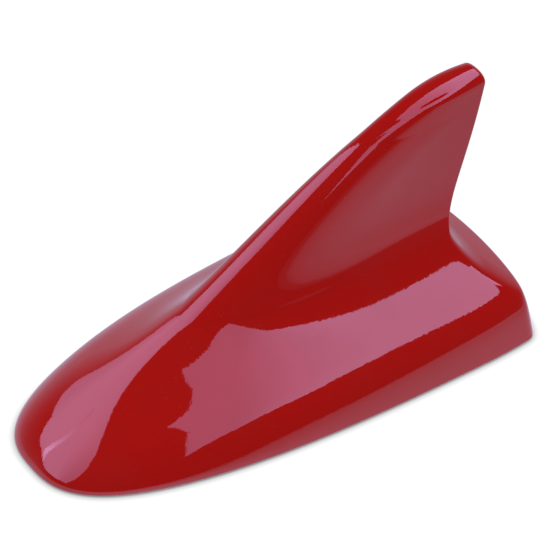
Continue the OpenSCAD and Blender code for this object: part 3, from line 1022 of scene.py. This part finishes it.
# The corners of a lamp are ways [x / z, y / z], and its shares are how bright it is at a way along
# x (axis 0) or y (axis 1)
lamps = {
    "side_lamp": {
        "ways": [(-0.26, -2.20), (-0.22, -1.90), (-0.20, -1.60), (-0.16, -1.20), (-0.12, -0.90),
                 (-0.095, -0.77), (-0.12, -0.60), (-0.16, -0.49), (-0.045, -0.455), (-0.03, -0.38),
                 (-0.04, -0.05), (0.00, 0.10), (0.10, 0.30), (0.27, 0.47), (0.62, 0.57),
                 (1.22, 0.62), (1.20, -0.06), (1.00, -0.14), (0.86, -0.20), (0.79, -0.33),
                 (0.71, -0.56), (0.61, -0.78), (0.53, -0.97), (0.42, -1.15), (0.29, -1.24),
                 (0.18, -1.42), (0.04, -1.62), (-0.06, -1.82), (-0.15, -2.02), (-0.23, -2.20)],
        "height": 0.5, "power": 4.86, "axis": 0,
        "shares": [(-0.2, 0.50), (0.12, 0.54), (0.27, 0.72), (0.5, 1.0)],
    },
    "side_flag": {
        "ways": [(0.07, -0.42), (0.10, -0.20), (0.22, -0.14), (0.33, -0.22), (0.37, -0.36),
                 (0.30, -0.44), (0.20, -0.45)],
        "height": 0.498, "power": 0.0, "axis": 0, "shares": [(0.0, 0.0), (1.0, 0.0)],
    },
    "crest_lamp": {
        "ways": [(-0.30, 0.20), (-0.40, 0.02), (-0.60, -0.22), (-0.92, -0.42), (-1.55, -0.60),
                 (-3.80, -0.85), (-3.80, 1.85), (-2.20, 1.56), (-1.50, 1.40), (-1.08, 1.36),
                 (-0.75, 1.45), (-0.62, 1.90), (-0.45, 2.50), (-0.20, 3.20), (-0.12, 3.10),
                 (-0.17, 2.48), (-0.26, 1.00)],
        "height": 5.0, "power": 4.3, "axis": 1,
        "shares": [(-0.35, 0.60), (0.3, 0.97), (1.1, 0.95), (1.8, 0.68), (2.6, 0.54), (4.2, 0.2)],
    },
    "tube": {
        "ways": [(-0.48, 0.50), (-0.62, 0.62), (-0.82, 0.80), (-1.02, 0.99), (-1.28, 1.19),
                 (-1.60, 1.35), (-2.20, 1.52), (-2.20, 1.40), (-1.60, 1.19), (-1.25, 1.02),
                 (-1.00, 0.83), (-0.80, 0.66), (-0.62, 0.53), (-0.48, 0.47)],
        "height": 4.9, "power": 8.6, "axis": 0,
        "shares": [(-2.2, 0.6), (-1.2, 1.0), (-0.8, 0.66), (-0.45, 0.34)],
    },
}


# Flat lamp overhead that shows in the paint, but that the camera doesn't see
def addLamp(name, lamp):
    height = lamp["height"]
    corners = [(x * height, y * height, height) for x, y in lamp["ways"]]
    piece = newPiece(name, corners, [tuple(range(len(corners)))])
    material, tree, shader, place = newMaterial(name)
    part = addNode(tree, "ShaderNodeSeparateXYZ", {0: place})
    start = lamp["shares"][0][0]
    end = lamp["shares"][-1][0]
    along = addRange(tree, part.outputs[lamp["axis"]], start * height, end * height)
    stops = [((way - start) / (end - start), [share * tint for tint in studio["lampTint"]])
             for way, share in lamp["shares"]]
    feed(tree, shader, {"Base Color": (0, 0, 0, 1), "Specular IOR Level": 0.0,
                        "Emission Color": addRamp(tree, along, stops),
                        "Emission Strength": lamp["power"]})
    piece.data.materials.append(material)
    piece.visible_camera = False
    piece.visible_diffuse = False
    piece.visible_shadow = False


# White is what the camera sees, contact the reach of the shadow under the rim, bands the table's
# brightness across the floor from before the fin to behind it, and the three last colours are how
# much light it takes from rough, glossy and camera rays
floorLook = {
    "reach": 3.0,
    "low": -0.00005,
    "white": 0.94,
    "contact": 0.002,
    "contactSamples": 16,
    "glow": 1.58,
    "glowReach": 0.020,
    "glowCore": (0.055, 0.028, 0.0),
    "glowSide": (-0.02, 0.03),
    "bands": [(0.0, 0.10), (0.25, 0.12), (0.44, 0.18), (0.48, 0.80), (0.492, 1.0), (0.512, 0.62),
              (0.583, 0.66), (1.0, 0.8)],
    "roughness": 0.9,
    "toRough": (0.62, 0.62, 0.62, 1),
    "toGlossy": (0.05, 0.05, 0.05, 1),
    "toCamera": (0.08, 0.08, 0.08, 1),
}


# White table: the camera sees it white with a narrow contact shadow. The paint sees its bands and
# a glow of e ^ (-distance from the fin's core / glow reach) that fades towards the right side.
# It is clear from below
def addFloor():
    reach = floorLook["reach"]
    low = floorLook["low"]
    floor = newPiece("floor", [(-reach, -reach, low), (reach, -reach, low), (reach, reach, low),
                               (-reach, reach, low)], [(0, 1, 2, 3)])
    material, tree, shader, place = newMaterial("floor")
    path = addNode(tree, "ShaderNodeLightPath").outputs
    near = addNode(tree, "ShaderNodeAmbientOcclusion", {"Distance": floorLook["contact"]},
                   samples=floorLook["contactSamples"])
    seen = addMath(tree, "MULTIPLY", near.outputs["AO"], floorLook["white"])
    seen = addNode(tree, "ShaderNodeCombineColor", {0: seen, 1: seen, 2: seen}).outputs[0]
    spread = addVector(tree, "ABSOLUTE", place)
    outside = addVector(tree, "SUBTRACT", spread.outputs[0], floorLook["glowCore"])
    outside = addVector(tree, "MAXIMUM", outside.outputs[0], (0.0, 0.0, 0.0))
    distance = addVector(tree, "LENGTH", outside.outputs[0])
    fall = addMath(tree, "MULTIPLY", distance.outputs["Value"], -1.0 / floorLook["glowReach"])
    part = addNode(tree, "ShaderNodeSeparateXYZ", {0: place})
    side = addRange(tree, part.outputs[1], *floorLook["glowSide"], 1.0, 0.0)
    glow = addMath(tree, "MULTIPLY", addMath(tree, "EXPONENT", fall), side)
    away = addVector(tree, "DOT_PRODUCT", place, studio["away"])
    share = addRange(tree, away.outputs["Value"], -reach, reach)
    bands = addRamp(tree, share, [(position, (level,) * 3) for position, level in floorLook["bands"]])
    level = addMath(tree, "MULTIPLY_ADD", glow, floorLook["glow"], bands)
    shown = addNode(tree, "ShaderNodeVectorMath", {0: studio["table"], "Scale": level},
                    operation="SCALE").outputs[0]
    shown = mixNode(tree, path["Is Glossy Ray"], (0, 0, 0, 1), shown)
    lit = mixNode(tree, path["Is Glossy Ray"], floorLook["toRough"], floorLook["toGlossy"])
    feed(tree, shader, {
        "Base Color": mixNode(tree, path["Is Camera Ray"], lit, floorLook["toCamera"]),
        "Emission Color": mixNode(tree, path["Is Camera Ray"], shown, seen),
        "Emission Strength": 1.0, "Specular IOR Level": 0.0, "Roughness": floorLook["roughness"]})
    face = addNode(tree, "ShaderNodeNewGeometry")
    clear = addNode(tree, "ShaderNodeBsdfTransparent")
    both = addNode(tree, "ShaderNodeMixShader", {0: face.outputs["Backfacing"], 1: shader.outputs[0],
                                                 2: clear.outputs[0]})
    tree.links.new(both.outputs[0], tree.nodes["Material Output"].inputs[0])
    floor.data.materials.append(material)


# Table rise is where the mirrored table fades upwards, and behind fade where it fades sideways
roomLook = {
    "dark": (0.067, 0.067, 0.067, 1),
    "tableRise": (-0.42, 0.64),
    "behindFade": 0.6,
    "skyLow": 0.66,
    "skyTop": 1.27,
}


# The paint sees the room dark overhead and towards the camera, and as bright as the table low down
# behind the fin. Rough faces are lit by a sky that grows from low to top with the height it comes
# from. The camera sees it white
def addRoom():
    world = bpy.data.worlds.new("studio")
    world.use_nodes = True
    tree = world.node_tree
    way = addNode(tree, "ShaderNodeTexCoord").outputs["Generated"]
    up = addNode(tree, "ShaderNodeSeparateXYZ", {0: way}).outputs["Z"]
    rise = addRange(tree, up, *roomLook["tableRise"], 1.0, 0.0, smooth=True)
    away = addVector(tree, "DOT_PRODUCT", way, studio["away"])
    behind = addRange(tree, away.outputs["Value"], -roomLook["behindFade"],
                      roomLook["behindFade"], smooth=True)
    share = addMath(tree, "MULTIPLY", rise, behind)
    shown = mixNode(tree, share, roomLook["dark"], (*studio["table"], 1))
    sky = addRange(tree, up, 0.0, 1.0, roomLook["skyLow"], roomLook["skyTop"])
    path = addNode(tree, "ShaderNodeLightPath").outputs
    light = mixNode(tree, path["Is Glossy Ray"], sky, shown)
    light = mixNode(tree, path["Is Camera Ray"], light, (1, 1, 1, 1))
    tree.links.new(light, tree.nodes["Background"].inputs[0])
    bpy.context.scene.world = world


addFloor()
for name, lamp in lamps.items():
    addLamp(name, lamp)
addRoom()
bpy.context.scene.view_settings.view_transform = "Standard"
print("stage 6: studio")
